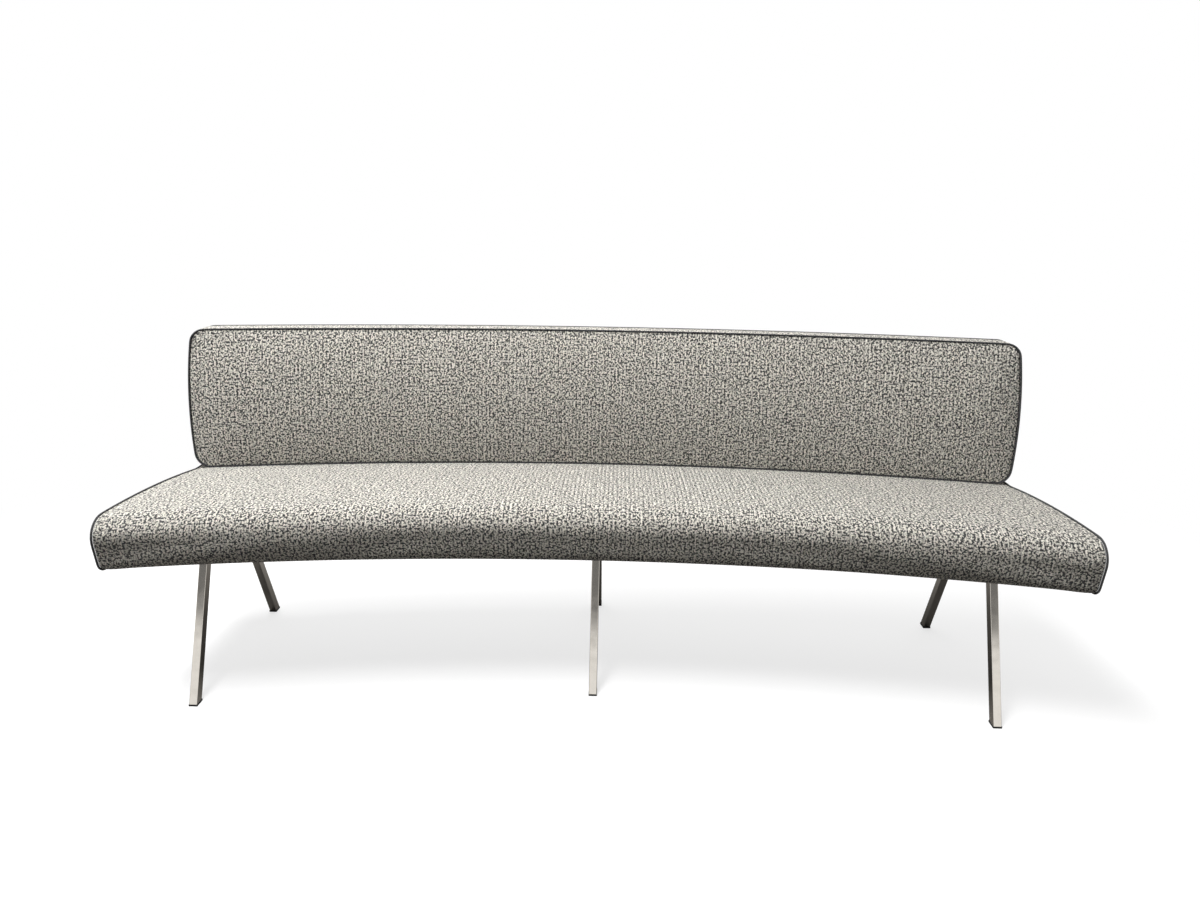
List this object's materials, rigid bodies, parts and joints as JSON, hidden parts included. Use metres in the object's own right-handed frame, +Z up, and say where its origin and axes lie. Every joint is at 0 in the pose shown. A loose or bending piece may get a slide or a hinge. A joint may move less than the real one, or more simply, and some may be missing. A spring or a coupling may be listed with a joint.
{
  "type": "upholstered dining bench",
  "caption": "Curved upholstered dining bench with a padded seat, a full-length padded backrest and splayed bright metal legs.",
  "frame": {"origin": "on the floor under the middle of the bounding box", "axes": "+X along the bench, to the right seen from its front, +Y from the seat's front edge to the backrest, +Z up"},
  "size_m": [2.2763, 0.7354, 0.847],
  "materials": {
    "tweed": "grey-beige flecked tweed",
    "dark_piping": "dark covered piping",
    "foam": "cream polyurethane foam",
    "wadding": "white polyester wadding",
    "felt": "grey needle felt",
    "webbing": "black elastic webbing",
    "dust_cloth": "black non-woven",
    "timber": "planed beech",
    "plywood": "bent plywood",
    "leg_metal": "polished stainless steel",
    "bracket_metal": "black powder coat",
    "zinc": "zinc plated",
    "glide_plastic": "black polyethylene"
  },
  "bodies": {
    "root": {"back_board": "plywood", "back_boxing": "tweed", "back_edge_foam": "foam", "back_front_cover": "tweed", "back_front_foam": "foam", "back_front_piping": "dark_piping", "back_left_bracket": "bracket_metal", "back_middle_bracket": "bracket_metal", "back_rear_cover": "tweed", "back_rear_foam": "foam", "back_rear_piping": "dark_piping", "back_right_bracket": "bracket_metal", "bracket_screws": "zinc", "frame_bolts": "zinc", "frame_washers": "zinc", "front_glides": "glide_plastic", "left_front_leg": "leg_metal", "left_mounting_plate": "leg_metal", "left_rear_leg": "leg_metal", "middle_front_leg": "leg_metal", "middle_mounting_plate": "leg_metal", "middle_rear_leg": "leg_metal", "rear_glides": "glide_plastic", "right_front_leg": "leg_metal", "right_mounting_plate": "leg_metal", "right_rear_leg": "leg_metal", "seat_cover": "tweed", "seat_dust_cover": "dust_cloth", "seat_end_foam": "foam", "seat_felt_pad": "felt", "seat_foam": "foam", "seat_front_rail": "timber", "seat_left_cross_rail": "timber", "seat_left_end_panel": "tweed", "seat_left_end_rail": "timber", "seat_left_piping": "dark_piping", "seat_middle_cross_rail": "timber", "seat_rear_rail": "timber", "seat_right_cross_rail": "timber", "seat_right_end_panel": "tweed", "seat_right_end_rail": "timber", "seat_right_piping": "dark_piping", "seat_wadding": "wadding", "seat_webbing": "webbing", "tee_nuts": "zinc"}
  },
  "joints": []
}
